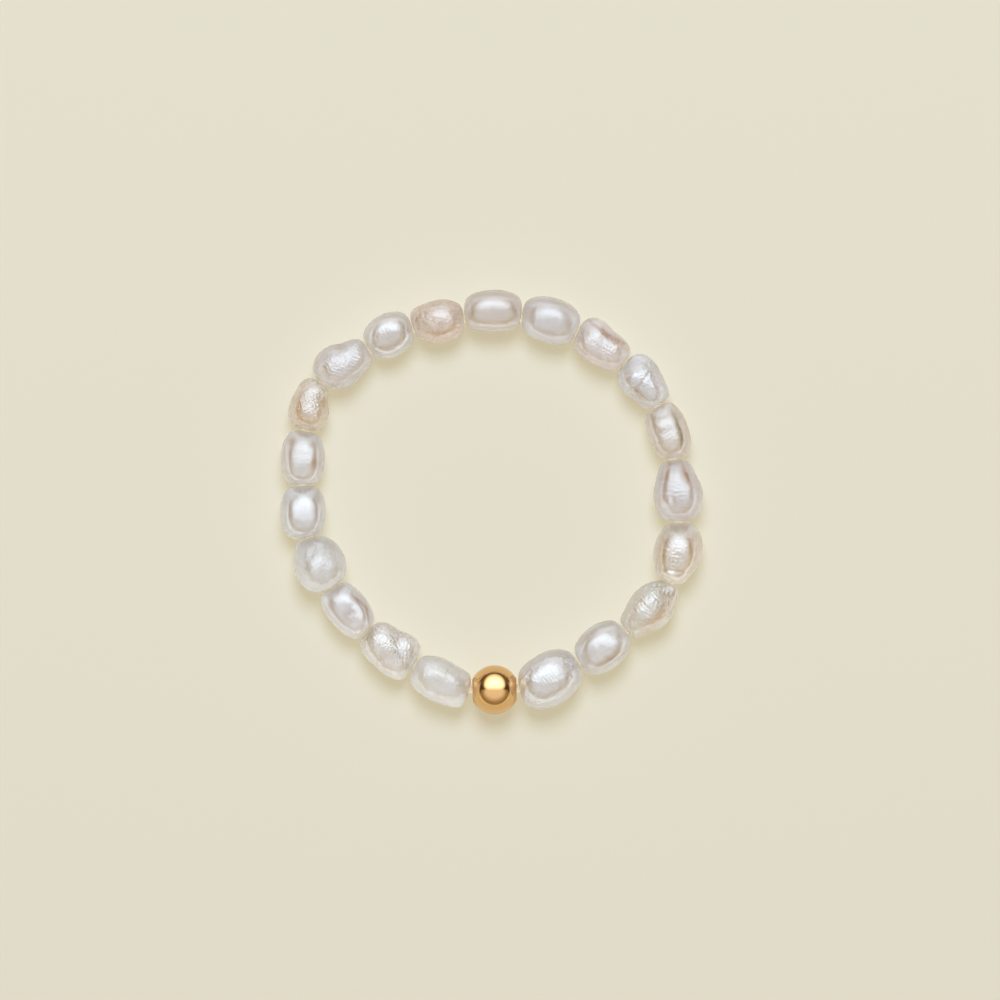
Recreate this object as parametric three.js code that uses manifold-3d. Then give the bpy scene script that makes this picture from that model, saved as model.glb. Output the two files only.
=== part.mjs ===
// Pearl stretch ring: twenty drilled rice pearls and one round gold bead on a knotted loop of elastic.
// Millimetres, +Z up. The ring lies flat, and its origin is the middle of its underside.
import * as THREE from 'three';
import { mergeVertices } from 'three/addons/utils/BufferGeometryUtils.js';
import { ParametricGeometry } from 'three/addons/geometries/ParametricGeometry.js';
import Module from 'manifold-3d';

const wasm = await Module();
wasm.setup();

// the gold bead and every pearl rest on the table, and the thread runs level through all of them
const goldRadius = 1.25;
const goldWall = 0.25;
const goldHoleRadius = 0.4;
const goldLipRadius = 0.58; // outer edge of the small flat lip around each hole
const goldPitch = 2.5; // length of thread that the gold bead takes up
const goldDirection = -89.4; // degrees about the ring's centre

const threadHeight = 1.13; // near the pearls' middles, so it lies a little low in the gold bead's holes
const threadRadius = 0.2;
const boreRadius = 0.3;
const knotRadius = 0.5;
const threadEndInset = 0.125; // each end of the thread stops this far from the knot's middle
const beadGap = 0.05; // between the end faces of neighbours
const threadBend = 0.3; // the thread turns within this length at each side of a junction

const lobeBlend = 0.1; // softness of the valleys between a pearl's lobes
const sectionBlunt = 2.3; // how much squarer than an ellipse (2) a pearl is across the thread
const crownFall = 0.36; // how much lower a pearl is at its ends than its outline from above would make it
const flankShare = 0.4; // how much of that fall there is a millimetre to the side
const endBlend = 0.03; // softness of the edge where a neighbour would flatten a pearl's end
const fullTurn = 2 * Math.PI;

// every search narrows its range by halving it this many times
const halvings = 30;
const smallestRing = 8;
const largestRing = 12;
const farthestSkin = 3; // no skin lies farther than this from the middle of its bore
const weldDistance = 0.0001;

const pearlSidesAround = 16;
const pearlStepsAlong = 12;
const goldSidesAround = 24;
const goldArcSteps = 10;
const threadSides = 8;
const threadSteps = 80;
const knotSides = 12;

// turns a header and rows into named records
const table = (columns, rows) =>
  rows.map((row) => Object.fromEntries(columns.map((column, i) => [column, row[i]])));

// counter-clockwise from the right of the gold bead: the thread each pearl takes up, how far the junction
// after it stands out from the ring's own radius, and the pearl's tint
const pearls = table(
  ['name', 'pitch', 'junctionOut', 'tint'],
  [
    ['pearl_01', 3.31, -0.35, 0xf3e9e3],
    ['pearl_02', 2.88, -0.15, 0xf0ebe6],
    ['pearl_03', 3.37, 0.38, 0xf5e4d8],
    ['pearl_04', 3.13, -0.1, 0xf1e3d2],
    ['pearl_05', 3.22, -0.2, 0xe9dfdb],
    ['pearl_06', 2.84, 0.03, 0xe8ddcf],
    ['pearl_07', 2.78, 0.1, 0xece4e0],
    ['pearl_08', 2.88, -0.03, 0xf0e4dc],
    ['pearl_09', 2.94, -0.26, 0xece5e2],
    ['pearl_10', 2.88, -0.31, 0xf2e4dc],
    ['pearl_11', 2.68, -0.06, 0xf3dfce],
    ['pearl_12', 2.48, 0.24, 0xefe3da],
    ['pearl_13', 2.95, 0.92, 0xeee6e2],
    ['pearl_14', 2.57, 0.54, 0xf0dccb],
    ['pearl_15', 2.79, 0.05, 0xeee3db],
    ['pearl_16', 2.68, -0.11, 0xf0e8e8],
    ['pearl_17', 2.8, -0.37, 0xeae6e5],
    ['pearl_18', 2.84, -0.28, 0xece4de],
    ['pearl_19', 3.02, -0.32, 0xf3eadf],
    ['pearl_20', 3.1, 0.07, 0xf3f0ea],
  ],
);
const lastJunctionOut = pearls[pearls.length - 1].junctionOut;
const firstJunctionOut = 0.04; // between the gold bead and pearl_01

// how the surfaces look; every pearl brings its own tint
const nacre = { roughness: 0.3, metalness: 0.1 };
const polishedGold = { color: 0xe3ad57, roughness: 0.12, metalness: 1 };
const clearElastic = { color: 0xe9e6da, roughness: 0.35, metalness: 0 };

// one row for each swelling of a pearl: its middle along the thread and towards the ring's centre, its half
// sizes, its turn about the vertical in degrees, and how blunt its ends are (2 is an ellipsoid)
const lobes = table(
  ['pearl', 'along', 'inward', 'halfLength', 'halfWidth', 'halfHeight', 'turn', 'blunt'],
  [
    ['pearl_01', -0.05, -0.18, 1.82, 1.37, 1.25, 7, 2.05],
    ['pearl_02', 0, -0.04, 1.57, 1.19, 1.14, 5, 2.15],
    ['pearl_03', 0.05, -0.08, 1.42, 1.15, 1.1, 0, 2],
    ['pearl_03', -1.08, -0.03, 0.72, 0.74, 0.76, 0, 2.1],
    ['pearl_03', 1.04, -0.05, 0.78, 0.62, 0.7, 0, 2.1],
    ['pearl_04', 0.14, -0.12, 1.54, 1.22, 1.16, -6, 2.1],
    ['pearl_04', -1.07, 0.02, 0.6, 0.8, 0.84, 0, 2.2],
    ['pearl_05', -0.3, -0.06, 1.42, 1.26, 1.2, 0, 2.1],
    ['pearl_05', 0.52, -0.02, 1.2, 0.98, 1, 0, 2.1],
    ['pearl_06', -0.02, -0.12, 1.58, 1.04, 1.06, 3, 2.4],
    ['pearl_07', 0.32, -0.1, 1.2, 1.08, 1.08, -8, 2.1],
    ['pearl_07', -0.55, -0.14, 1, 0.89, 0.96, -4, 2.2],
    ['pearl_08', 0.56, -0.08, 1, 1.05, 1.05, 0, 2.2],
    ['pearl_08', -0.56, -0.02, 1.02, 0.93, 1, 0, 2.1],
    ['pearl_08', 0, 0.18, 0.9, 0.8, 0.88, 0, 2],
    ['pearl_09', 0, -0.2, 1.62, 1.16, 1.12, -4, 2.2],
    ['pearl_10', -0.02, -0.34, 1.58, 1.09, 1.08, 0, 2.4],
    ['pearl_10', 1.1, -0.1, 0.5, 0.56, 0.66, 0, 2.2],
    ['pearl_10', -1.1, -0.14, 0.5, 0.56, 0.66, 0, 2.2],
    ['pearl_11', -0.12, -0.1, 1.34, 1.12, 1.1, 0, 2.1],
    ['pearl_11', 0.78, -0.22, 0.7, 0.8, 0.84, 0, 2.3],
    ['pearl_12', -0.03, -0.22, 1.4, 1.12, 1.1, 2, 2.2],
    ['pearl_13', 0.32, -0.18, 1.28, 1.16, 1.12, -10, 2],
    ['pearl_13', -0.62, -0.1, 1, 0.88, 0.98, 0, 2.2],
    ['pearl_14', 0.34, -0.1, 1.06, 1.03, 1.05, 0, 2.1],
    ['pearl_14', -0.46, -0.28, 0.93, 0.8, 0.9, 0, 2.2],
    ['pearl_14', -0.95, 0, 0.5, 0.52, 0.66, 0, 2.1],
    ['pearl_15', 0.12, -0.02, 1.4, 1.12, 1.09, 2, 2.4],
    ['pearl_15', -0.58, -0.05, 0.95, 0.9, 0.94, 0, 2.2],
    ['pearl_16', 0, -0.12, 1.5, 1.16, 1.12, -7, 2.3],
    ['pearl_17', 0.14, -0.08, 1.42, 1.33, 1.22, -10, 2.1],
    ['pearl_17', -0.62, -0.08, 0.94, 0.9, 0.98, 0, 2.1],
    ['pearl_18', 0.02, 0, 1.4, 1.04, 1.03, 4, 2.1],
    ['pearl_18', 0.72, 0.04, 0.86, 0.84, 0.92, 4, 2.2],
    ['pearl_18', -0.62, -0.05, 0.96, 0.93, 0.98, 0, 2.2],
    ['pearl_19', -0.45, 0.02, 1.2, 1.08, 1.07, 0, 2.1],
    ['pearl_19', 0.55, 0.42, 0.98, 0.8, 0.86, 0, 2.1],
    ['pearl_19', 0.55, -0.35, 1.02, 0.86, 0.95, 0, 2.1],
    ['pearl_19', 1.02, 0.02, 0.62, 0.6, 0.7, 0, 2.2],
    ['pearl_20', -0.05, -0.15, 1.64, 1.1, 1.12, -4, 2.25],
    ['pearl_20', 1, -0.16, 0.63, 0.88, 0.92, -8, 2.5],
  ],
);

// angle at the ring's centre between two junctions that a bead of this pitch joins
function spannedAngle(radiusBefore, radiusAfter, pitch) {
  const cosine = (radiusBefore ** 2 + radiusAfter ** 2 - pitch ** 2) / (2 * radiusBefore * radiusAfter);
  return Math.acos(cosine);
}

// the beads in order round the ring, each with its pitch and the standing out of the junctions at its ends
function beadOrder() {
  const gold = {
    name: 'gold_bead',
    pitch: goldPitch,
    outBefore: lastJunctionOut,
    outAfter: firstJunctionOut,
  };
  let outBefore = firstJunctionOut;
  const strung = pearls.map((pearl) => {
    const bead = { name: pearl.name, pitch: pearl.pitch, outBefore, outAfter: pearl.junctionOut };
    outBefore = pearl.junctionOut;
    return bead;
  });
  return [gold, ...strung];
}

// the ring's radius is the one at which the beads close the circle
function closingRadius(beads) {
  let low = smallestRing;
  let high = largestRing;
  for (let i = 0; i < halvings; i += 1) {
    const middle = (low + high) / 2;
    const turned = beads.reduce(
      (sum, bead) => sum + spannedAngle(middle + bead.outBefore, middle + bead.outAfter, bead.pitch),
      0,
    );
    if (turned > fullTurn) low = middle;
    else high = middle;
  }
  return (low + high) / 2;
}

// each bead gets its ends on the thread, its middle and its heading
function stringBeads() {
  const beads = beadOrder();
  const radius = closingRadius(beads);
  const [gold] = beads;
  const goldSpan = spannedAngle(radius + gold.outBefore, radius + gold.outAfter, gold.pitch);
  let angle = THREE.MathUtils.degToRad(goldDirection) - goldSpan / 2;
  for (const bead of beads) {
    const before = radius + bead.outBefore;
    const after = radius + bead.outAfter;
    bead.start = new THREE.Vector3(before * Math.cos(angle), before * Math.sin(angle), threadHeight);
    angle += spannedAngle(before, after, bead.pitch);
    bead.end = new THREE.Vector3(after * Math.cos(angle), after * Math.sin(angle), threadHeight);
    bead.middle = bead.start.clone().add(bead.end).multiplyScalar(0.5);
    bead.heading = Math.atan2(bead.end.y - bead.start.y, bead.end.x - bead.start.x);
  }
  return beads;
}

// the planes that part a bead from its neighbours, in the bead's own frame: x along the thread, y inward
function endPlanes(beads, index) {
  const bead = beads[index];
  const previous = beads[(index + beads.length - 1) % beads.length];
  const next = beads[(index + 1) % beads.length];
  return [
    { neighbour: previous, side: -1 },
    { neighbour: next, side: 1 },
  ].map(({ neighbour, side }) => {
    const turn = neighbour.heading - bead.heading;
    const lean = Math.atan2(Math.sin(turn), Math.cos(turn)) / 2;
    const normal = new THREE.Vector2(side * Math.cos(lean), side * Math.sin(lean));
    return { normal, reach: (bead.pitch / 2) * Math.cos(lean) - beadGap / 2 };
  });
}

// below zero inside a pearl: the soft union of its lobes, let down by `drop` from the thread
function lobeField(pearlLobes, drop, point) {
  let sum = 0;
  for (const lobe of pearlLobes) {
    const turn = THREE.MathUtils.degToRad(lobe.turn);
    const dx = point.x - lobe.along;
    const dy = point.y - lobe.inward;
    const x = (Math.cos(turn) * dx + Math.sin(turn) * dy) / lobe.halfLength;
    const y = (-Math.sin(turn) * dx + Math.cos(turn) * dy) / lobe.halfWidth;
    const z = (point.z - drop) / lobe.halfHeight;
    const across = (Math.abs(y) ** sectionBlunt + Math.abs(z) ** sectionBlunt) ** (1 / sectionBlunt);
    const size = (Math.abs(x) ** lobe.blunt + across ** lobe.blunt) ** (1 / lobe.blunt);
    const smallest = Math.min(lobe.halfLength, lobe.halfWidth, lobe.halfHeight);
    sum += Math.exp((-(size - 1) * smallest) / lobeBlend);
  }
  return -lobeBlend * Math.log(sum + Number.MIN_VALUE); // far outside, the sum itself rounds to nothing
}

// the pearl's body with its ends kept behind the planes that part it from its neighbours
function pearlField(shape, point) {
  let value = lobeField(shape.lobes, shape.drop, point);
  for (const plane of shape.planes) {
    const past = plane.normal.x * point.x + plane.normal.y * point.y - plane.reach;
    const high = Math.max(value, past);
    const share = Math.exp((value - high) / endBlend) + Math.exp((past - high) / endBlend);
    value = high + endBlend * Math.log(share);
  }
  return value;
}

// how far the surface lies from the middle of the bore in one direction
function surfaceDistance(field, direction) {
  let low = 0;
  let high = farthestSkin;
  for (let i = 0; i < halvings; i += 1) {
    const middle = (low + high) / 2;
    if (field(direction.clone().multiplyScalar(middle)) < 0) low = middle;
    else high = middle;
  }
  return (low + high) / 2;
}

// a direction from the bore's middle: `tilt` from the thread and `around` it from the ring's centre upwards
const directionAt = (tilt, around) =>
  new THREE.Vector3(
    Math.cos(tilt),
    Math.sin(tilt) * Math.cos(around),
    Math.sin(tilt) * Math.sin(around),
  );

// how far a pearl is let down from the thread so that its belly touches the table
function bellyDrop(pearlLobes) {
  let lowest = 0;
  for (let i = 1; i < pearlSidesAround; i += 1) {
    for (let j = 0; j <= pearlSidesAround; j += 1) {
      const direction = directionAt((i / pearlSidesAround) * Math.PI, Math.PI * (1 + j / pearlSidesAround));
      const distance = surfaceDistance((point) => lobeField(pearlLobes, 0, point), direction);
      lowest = Math.min(lowest, direction.z * distance);
    }
  }
  return -threadHeight - lowest;
}

// the tilt at which the surface meets the bore's wall, searched from one end (0) or the other (half a turn)
function rimTilt(field, around, endTilt) {
  let inside = endTilt;
  let outside = Math.PI / 2;
  for (let i = 0; i < halvings; i += 1) {
    const middle = (inside + outside) / 2;
    const distance = surfaceDistance(field, directionAt(middle, around));
    if (distance * Math.sin(middle) < boreRadius) inside = middle;
    else outside = middle;
  }
  return (inside + outside) / 2;
}

// a drilled pearl: its skin runs from one rim of the bore to the other, and the bore closes it
function pearlGeometry(beads, index) {
  const pearlLobes = lobes.filter((lobe) => lobe.pearl === beads[index].name);
  const shape = { lobes: pearlLobes, drop: bellyDrop(pearlLobes), planes: endPlanes(beads, index) };
  const field = (point) => pearlField(shape, point);
  const halfPitch = beads[index].pitch / 2;
  const rims = [];
  for (let i = 0; i <= pearlSidesAround; i += 1) {
    const around = (-i / pearlSidesAround) * fullTurn; // this way round, the skin faces outwards
    rims.push({ around, first: rimTilt(field, around, 0), last: rimTilt(field, around, Math.PI) });
  }
  const stations = pearlStepsAlong + 1;
  const place = (u, v, target) => {
    const { around, first, last } = rims[Math.round(u * pearlSidesAround)];
    const station = Math.round(v * stations) % stations;
    const tilt = first + ((last - first) * station) / pearlStepsAlong;
    const direction = directionAt(tilt, around);
    target.copy(direction.multiplyScalar(surfaceDistance(field, direction)));
    // from above the ends look blunt, but the crown slopes down to them
    const spread = (target.x / halfPitch) ** 2 + flankShare * target.y ** 2;
    target.z -= crownFall * Math.min(spread, 1) ** 2 * Math.max(target.z - boreRadius, 0);
  };
  return new ParametricGeometry(place, pearlSidesAround, stations);
}

// a hollow round bead with a hole at each end, its axis along x
function goldGeometry() {
  const innerRadius = goldRadius - goldWall;
  const lipTilt = Math.acos(goldLipRadius / goldRadius);
  const holeTilt = Math.acos(goldHoleRadius / innerRadius);
  const lipHeight = goldRadius * Math.sin(lipTilt);
  const profile = [];
  for (let i = 0; i <= goldArcSteps; i += 1) {
    const tilt = lipTilt * ((2 * i) / goldArcSteps - 1);
    profile.push(new THREE.Vector2(goldRadius * Math.cos(tilt), goldRadius * Math.sin(tilt)));
  }
  profile.push(new THREE.Vector2(goldHoleRadius, lipHeight));
  for (let i = 0; i <= goldArcSteps; i += 1) {
    const tilt = holeTilt * (1 - (2 * i) / goldArcSteps);
    profile.push(new THREE.Vector2(innerRadius * Math.cos(tilt), innerRadius * Math.sin(tilt)));
  }
  profile.push(new THREE.Vector2(goldHoleRadius, -lipHeight));
  profile.push(profile[0].clone());
  return new THREE.LatheGeometry(profile, goldSidesAround).rotateZ(-Math.PI / 2);
}

// the elastic's route: out of the knot, straight through every bore and back into the knot
function threadRoute(beads) {
  const [gold, ...strung] = beads;
  const along = (bead, distance) =>
    bead.middle.clone().add(
      new THREE.Vector3(Math.cos(bead.heading), Math.sin(bead.heading), 0).multiplyScalar(distance),
    );
  const points = [along(gold, threadEndInset), along(gold, gold.pitch / 2 - threadBend)];
  for (const bead of strung) {
    const straight = bead.pitch / 2 - threadBend;
    points.push(along(bead, -straight), along(bead, straight));
  }
  points.push(along(gold, threadBend - gold.pitch / 2), along(gold, -threadEndInset));
  return new THREE.CatmullRomCurve3(points, false, 'centripetal');
}

// position-only solid for joining
function toSolid(geometry) {
  geometry.deleteAttribute('normal');
  geometry.deleteAttribute('uv');
  const merged = mergeVertices(geometry, weldDistance);
  const vertProperties = new Float32Array(merged.attributes.position.array);
  const triVerts = new Uint32Array(merged.index.array);
  return new wasm.Manifold(new wasm.Mesh({ numProp: 3, vertProperties, triVerts }));
}

function toGeometry(solid) {
  const mesh = solid.getMesh();
  const geometry = new THREE.BufferGeometry();
  geometry.setAttribute('position', new THREE.BufferAttribute(mesh.vertProperties, mesh.numProp));
  geometry.setIndex(new THREE.BufferAttribute(mesh.triVerts, 1));
  geometry.computeVertexNormals();
  return geometry;
}

// the loop of elastic and the plain knot that ties its two ends inside the gold bead
function threadGeometry(beads) {
  const corners = [];
  for (let i = 0; i < threadSides; i += 1) {
    const angle = (i / threadSides) * fullTurn;
    corners.push(new THREE.Vector2(threadRadius * Math.cos(angle), threadRadius * Math.sin(angle)));
  }
  const loop = new THREE.ExtrudeGeometry(new THREE.Shape(corners), {
    steps: threadSteps,
    bevelEnabled: false,
    extrudePath: threadRoute(beads),
  });
  const { x, y, z } = beads[0].middle;
  const knot = new THREE.SphereGeometry(knotRadius, knotSides, knotSides / 2).translate(x, y, z);
  return toGeometry(toSolid(loop).add(toSolid(knot)));
}

function namedMesh(name, geometry, look) {
  const mesh = new THREE.Mesh(geometry, new THREE.MeshStandardMaterial(look));
  mesh.name = name;
  return mesh;
}

function buildRing() {
  const ring = new THREE.Group();
  const beads = stringBeads();
  beads.forEach((bead, index) => {
    const mesh =
      bead.name === 'gold_bead'
        ? namedMesh(bead.name, goldGeometry(), polishedGold)
        : namedMesh(bead.name, pearlGeometry(beads, index), { color: pearls[index - 1].tint, ...nacre });
    mesh.position.copy(bead.middle);
    if (bead.name === 'gold_bead') mesh.position.z = goldRadius;
    mesh.rotation.z = bead.heading;
    ring.add(mesh);
  });
  ring.add(namedMesh('elastic_thread', threadGeometry(beads), clearElastic));

  // the origin is the middle of the underside
  const box = new THREE.Box3().setFromObject(ring, true);
  const middle = box.getCenter(new THREE.Vector3());
  ring.position.set(-middle.x, -middle.y, -box.min.z);
  return ring;
}

export default buildRing();
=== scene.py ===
from math import acos, atan2, cos, pi, radians, sin, sqrt, tan, tau

import bpy
import numpy as np
from mathutils import Matrix, Vector


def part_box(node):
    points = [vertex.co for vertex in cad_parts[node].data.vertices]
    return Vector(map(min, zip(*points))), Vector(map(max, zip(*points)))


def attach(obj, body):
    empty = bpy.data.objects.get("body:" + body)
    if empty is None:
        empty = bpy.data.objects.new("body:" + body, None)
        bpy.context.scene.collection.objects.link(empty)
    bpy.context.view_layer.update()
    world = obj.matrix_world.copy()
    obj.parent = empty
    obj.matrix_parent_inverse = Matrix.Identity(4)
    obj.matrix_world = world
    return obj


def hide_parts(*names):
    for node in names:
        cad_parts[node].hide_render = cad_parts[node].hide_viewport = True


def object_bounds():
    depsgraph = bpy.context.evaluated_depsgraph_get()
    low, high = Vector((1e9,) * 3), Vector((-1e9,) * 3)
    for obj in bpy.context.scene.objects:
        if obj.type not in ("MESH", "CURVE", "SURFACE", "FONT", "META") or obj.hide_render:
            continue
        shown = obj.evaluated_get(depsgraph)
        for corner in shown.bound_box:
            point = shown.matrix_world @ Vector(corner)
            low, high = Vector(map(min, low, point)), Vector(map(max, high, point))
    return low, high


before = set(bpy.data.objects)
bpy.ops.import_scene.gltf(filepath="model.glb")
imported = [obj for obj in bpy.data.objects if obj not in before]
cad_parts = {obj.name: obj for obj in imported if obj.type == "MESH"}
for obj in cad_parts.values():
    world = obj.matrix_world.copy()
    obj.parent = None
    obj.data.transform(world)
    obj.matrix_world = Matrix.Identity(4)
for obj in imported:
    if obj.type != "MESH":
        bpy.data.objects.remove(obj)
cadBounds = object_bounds()
mm = 0.001  # the beads' and the thread's sizes are in millimetres, the camera's and the lights' in metres
halvings = 24  # every search narrows its range by halving it this many times
tiny = 1e-300  # keeps divisions and logarithms away from nought
sharpAngle = 50  # degrees between two faces from which their edge stays sharp
print("frame loaded:", len(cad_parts), "nodes")


def toLinear(hexColour):
    parts = [int(hexColour[i : i + 2], 16) / 255 for i in (1, 3, 5)]
    return (*(c / 12.92 if c <= 0.04045 else ((c + 0.055) / 1.055) ** 2.4 for c in parts), 1)


def readTable(columns, rows):
    return [dict(zip(columns.split(), row)) for row in rows]


def rowsOf(rows, number):
    return [row for row in rows if row["pearl"] == number]


def smoothStep(low, high, value):
    t = np.clip((value - low) / (high - low), 0, 1)
    return t * t * (3 - 2 * t)


def addNode(tree, kind, settings=None, inputs=None):
    node = tree.nodes.new(kind)
    for name, value in (settings or {}).items():
        setattr(node, name, value)
    for name, value in (inputs or {}).items():
        if isinstance(value, bpy.types.NodeSocket):
            tree.links.new(value, node.inputs[name])
        else:
            node.inputs[name].default_value = value
    return node


# the inputs of a map range node that say where its values come from or go to
def span(side, limits):
    return {side + " Min": limits[0], side + " Max": limits[1]}


def newMaterial(name):
    material = bpy.data.materials.new(name)
    material.use_nodes = True
    material.node_tree.nodes.clear()
    return material


# a point's place on its own piece, in millimetres
def ownPlace(tree, shift=0):
    place = addNode(tree, "ShaderNodeTexCoord").outputs["Object"]
    inputs = {"Vector": place, "Scale": (1 / mm, 1 / mm, 1 / mm), "Location": (shift, 0, 0)}
    return addNode(tree, "ShaderNodeMapping", inputs=inputs).outputs[0]


# every piece here is a ring in both directions: round its own axis, and from rim to rim and back through the
# hole. Faces that look inwards are turned over
def ringMesh(name, grid):
    rows, columns = grid.shape[:2]
    index = np.arange(rows * columns).reshape(rows, columns)
    down = np.roll(index, -1, 0)
    faces = np.stack([index, down, np.roll(down, -1, 1), np.roll(index, -1, 1)], -1).reshape(-1, 4)
    points = grid.reshape(-1, 3)
    a, b, c, d = (points[faces[:, i]] for i in range(4))
    volume = (np.cross(a, b) * c).sum() + (np.cross(a, c) * d).sum()
    if volume < 0:
        faces = faces[:, ::-1]
    mesh = bpy.data.meshes.new(name)
    mesh.from_pydata(points.tolist(), [], faces.tolist())
    mesh.shade_smooth()
    mesh.set_sharp_from_angle(angle=radians(sharpAngle))
    mesh.update()
    return mesh


def addPiece(name, mesh, material, place=None):
    piece = bpy.data.objects.new(name + "_shown", mesh)
    bpy.context.scene.collection.objects.link(piece)
    piece.matrix_world = place or Matrix.Identity(4)
    mesh.materials.append(material)
    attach(piece, "root")
    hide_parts(name)
    return piece


ringMiddle = (Vector(cadBounds[0]) + Vector(cadBounds[1])) / 2

shot = {
    "frameWidth": 50.8 * mm,  # what the camera takes in at the ring
    "distance": 0.6,
    "aim": (0.425 * mm, 0.105 * mm),  # the ring sits a little left of and below the middle
    "sensor": 36.0,
    "clip": (0.01, 10),
}

cameraData = bpy.data.cameras.new("camera")
cameraData.sensor_width = shot["sensor"]
cameraData.lens = shot["sensor"] * shot["distance"] / shot["frameWidth"]
cameraData.clip_start, cameraData.clip_end = shot["clip"]
camera = bpy.data.objects.new("camera", cameraData)
camera.location = ringMiddle + Vector((*shot["aim"], shot["distance"]))
bpy.context.scene.collection.objects.link(camera)
bpy.context.scene.camera = camera
bpy.context.scene.view_settings.view_transform = "Standard"
print("camera looks down on", [round(v / mm, 3) for v in ringMiddle])

lightDistance = 0.5  # from the ring to every light


# polar is in degrees from straight up, and azimuth in degrees from the ring's right-hand side
def pointing(polar, azimuth):
    polar, azimuth = radians(polar), radians(azimuth)
    return Vector((sin(polar) * cos(azimuth), sin(polar) * sin(azimuth), cos(polar)))


# a flat light that the camera doesn't see. glow is its radiance
def hangLight(name, shape, size, glow, colour, place):
    data = bpy.data.lights.new(name, "AREA")
    data.shape = shape
    data.size, data.size_y = size
    data.energy = glow * pi * size[0] * size[1] * (pi / 4 if shape == "DISK" else 1)
    data.color = toLinear(colour)[:3]
    light = bpy.data.objects.new(name, data)
    light.location = place
    light.visible_camera = False
    bpy.context.scene.collection.objects.link(light)
    return light


def face(light, direction):
    light.rotation_euler = direction.to_track_quat("Z", "Y").to_euler()


# two soft panels overhead that meet just behind the camera: keyPanel leans to the back, and the weaker
# frontPanel to the front. Both are only mirrored and light nothing. polar runs from front to back in degrees
# from straight up, and reach is how far to each side a panel is lit, in metres. stops say how its light falls
# from the middle of the edge over the camera, where it starts at nearEdge of the full glow
panels = {
    "keyPanel": {
        "polar": (1, 84),
        "halfWidth": 0.78,
        "reach": 0.72,
        "glow": 3.28,
        "nearEdge": 0.42,
        "stops": [
            (0, "#FFFFFF"),
            (0.18, "#FFFFFF"),
            (0.36, "#E2E2E2"),
            (0.55, "#BCBCBC"),
            (0.8, "#87847C"),
            (1, "#2A261C"),
        ],
    },
    "frontPanel": {
        "polar": (-78, 1),
        "halfWidth": 1.28,
        "reach": 1.12,
        "glow": 0.92,
        "nearEdge": 1.0,
        "stops": [
            (0, "#FFFFFF"),
            (0.2, "#FAF9F6"),
            (0.45, "#B8B2A4"),
            (0.62, "#958A6E"),
            (1, "#91835F"),
        ],
    },
}
nearFade = 0.42  # part of a panel's length over which it rises to its full glow


def addPanel(name, panel):
    start, end = panel["polar"]
    direction = pointing((start + end) / 2, 90)
    size = (2 * panel["halfWidth"], 2 * lightDistance * tan(radians(end - start) / 2))
    place = ringMiddle + direction * lightDistance
    light = hangLight(name, "RECTANGLE", size, panel["glow"], "#FFFFFF", place)
    face(light, direction)
    light.visible_diffuse = False
    light.data.use_nodes = True
    tree = light.data.node_tree
    tree.nodes.clear()
    geometry = addNode(tree, "ShaderNodeNewGeometry")
    parts = addNode(tree, "ShaderNodeSeparateXYZ", inputs={0: geometry.outputs["Parametric"]})
    width = size[0] / panel["reach"]
    across = addNode(
        tree, "ShaderNodeMath", {"operation": "MULTIPLY_ADD"}, {0: parts.outputs[0], 1: width, 2: -width / 2}
    )
    away = addNode(tree, "ShaderNodeMath", {"operation": "SUBTRACT"}, {0: 1.0, 1: parts.outputs[1]})
    rise = addNode(
        tree,
        "ShaderNodeMapRange",
        {"interpolation_type": "SMOOTHSTEP"},
        {"Value": away.outputs[0], "From Max": nearFade, "To Min": panel["nearEdge"], "To Max": 1.0},
    )
    squares = [
        addNode(tree, "ShaderNodeMath", {"operation": "MULTIPLY"}, {0: side.outputs[0], 1: side.outputs[0]})
        for side in (across, away)
    ]
    spread = addNode(
        tree, "ShaderNodeMath", {"operation": "ADD"}, {0: squares[0].outputs[0], 1: squares[1].outputs[0]}
    )
    fall = addNode(tree, "ShaderNodeValToRGB", inputs={0: spread.outputs[0]})
    ramp = fall.color_ramp.elements
    while len(ramp) < len(panel["stops"]):
        ramp.new(1)
    for element, (position, colour) in zip(ramp, panel["stops"]):
        element.position = position
        element.color = toLinear(colour)
    emission = addNode(
        tree, "ShaderNodeEmission", inputs={"Color": fall.outputs[0], "Strength": rise.outputs[0]}
    )
    addNode(tree, "ShaderNodeOutputLight", inputs={"Surface": emission.outputs[0]})
    return light


panelLamps = [addPanel(name, panel) for name, panel in panels.items()]

# round lamps that no surface mirrors. cardLamp lights the card and draws the short soft shadows, and the
# others light the bodies of the beads, from above and from low on all sides, so that no flank is dark
lamps = readTable(
    "name polar azimuth halfAngle glow colour",
    [
        ("cardLamp", 29, 90, 15, 16.2, "#D6E6FF"),
        ("bodyLamp", 8, -90, 52, 0.62, "#FFFFFF"),
        ("rightLamp", 76, 0, 35, 1.73, "#DEECFF"),
        ("backLamp", 76, 90, 35, 1.4, "#DEECFF"),
        ("leftLamp", 76, 180, 35, 1.73, "#DEECFF"),
        ("frontLamp", 76, -90, 35, 1.98, "#DEECFF"),
    ],
)


def addLamp(lamp):
    direction = pointing(lamp["polar"], lamp["azimuth"])
    size = 2 * lightDistance * tan(radians(lamp["halfAngle"]))
    place = ringMiddle + direction * lightDistance
    light = hangLight(lamp["name"], "DISK", (size, size), lamp["glow"], lamp["colour"], place)
    face(light, direction)
    light.visible_glossy = False
    return light


cardLamp, *bodyLamps = (addLamp(lamp) for lamp in lamps)

# low strips of white card that stand round the pearls and are mirrored in their flanks
strips = readTable(
    "name azimuth glow",
    [
        ("rightStrip", 0, 1.1),
        ("backStrip", 90, 1.6),
        ("leftStrip", 180, 1.1),
        ("frontStrip", -90, 1.1),
    ],
)
stripCard = {"height": 0.15, "colour": "#F2F0F5"}


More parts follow.
